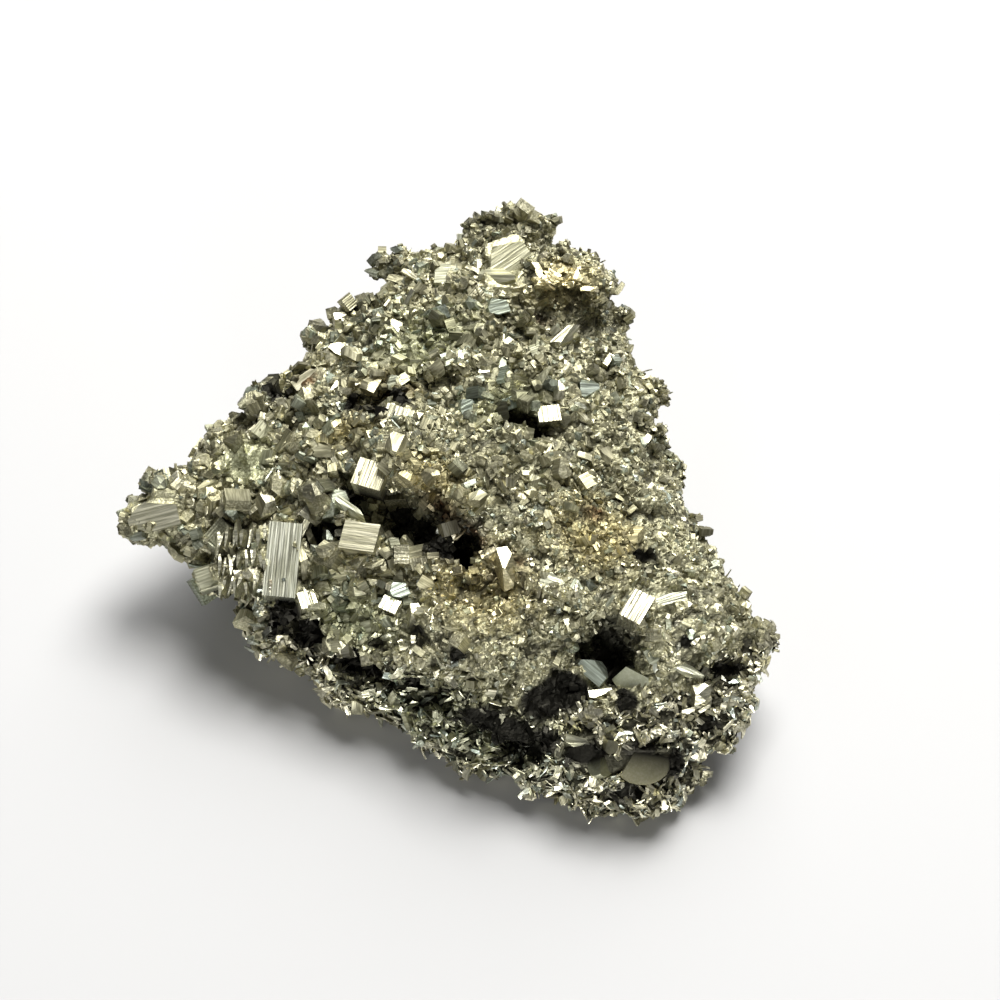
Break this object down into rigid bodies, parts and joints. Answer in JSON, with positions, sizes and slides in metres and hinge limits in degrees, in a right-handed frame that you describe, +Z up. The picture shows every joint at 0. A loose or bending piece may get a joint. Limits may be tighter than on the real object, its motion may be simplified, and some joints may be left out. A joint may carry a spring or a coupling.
{
  "type": "pyrite specimen",
  "caption": "Hand-sized lump of intergrown pyrite crystals: a rough three-cornered block with cubes, crevices and a flat resting patch underneath.",
  "frame": {"origin": "middle of the box round the lump, at the height of its flat resting patch", "axes": "+Z up from the resting patch; +X towards the corner opposite the narrow nose, and +Y towards the rounded apex"},
  "size_m": [0.0654, 0.065, 0.0239],
  "materials": {
    "pyrite": "metallic brassy grey crystal faces, some mirror bright and some dull, with near-black crevices and faint rust-brown stains"
  },
  "bodies": {
    "root": {"pyrite_cluster": "pyrite"}
  },
  "joints": []
}
